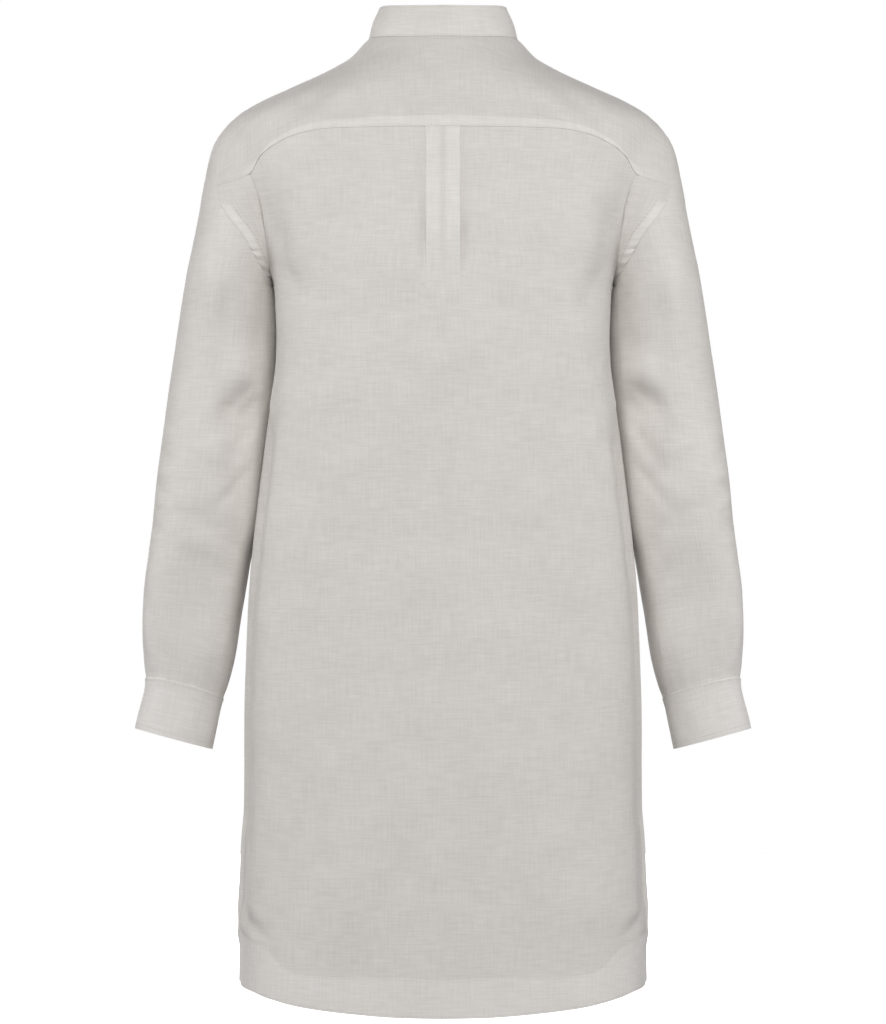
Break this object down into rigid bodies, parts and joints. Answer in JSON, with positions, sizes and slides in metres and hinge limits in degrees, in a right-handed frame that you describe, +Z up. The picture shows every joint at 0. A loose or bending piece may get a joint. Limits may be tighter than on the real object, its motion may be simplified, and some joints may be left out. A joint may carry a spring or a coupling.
{
  "type": "long band-collar linen shirt, filled out",
  "caption": "Long linen tunic shirt standing hollow as if worn: band collar, back yoke with a box pleat, long cuffed sleeves, buttoned front strip and side slits.",
  "frame": {"origin": "the middle of the neck base, where the wearer's shoulders carry the shirt", "axes": "+Z up along the wearer, the front faces -Y and the back +Y, the wearer's left is +X"},
  "size_m": [0.5888, 0.2735, 0.9351],
  "materials": {
    "linen": "plain-weave natural linen, matte",
    "linen_double": "two layers of the same linen, matte",
    "shell": "satin shell-like button"
  },
  "bodies": {
    "root": {"back_panel": "linen", "yoke": "linen", "back_hem_band": "linen_double", "front_left": "linen", "front_right": "linen", "front_hem_band_left": "linen_double", "front_hem_band_right": "linen_double", "front_placket": "linen_double", "collar_band": "linen_double", "sleeve_left": "linen", "sleeve_right": "linen", "cuff_left": "linen_double", "cuff_right": "linen_double", "button_front_01": "shell", "button_front_02": "shell", "button_front_03": "shell", "button_front_04": "shell", "button_front_05": "shell", "button_front_06": "shell", "button_front_07": "shell", "button_front_08": "shell", "button_front_09": "shell", "button_collar": "shell", "button_cuff_left": "shell", "button_cuff_right": "shell"}
  },
  "joints": []
}
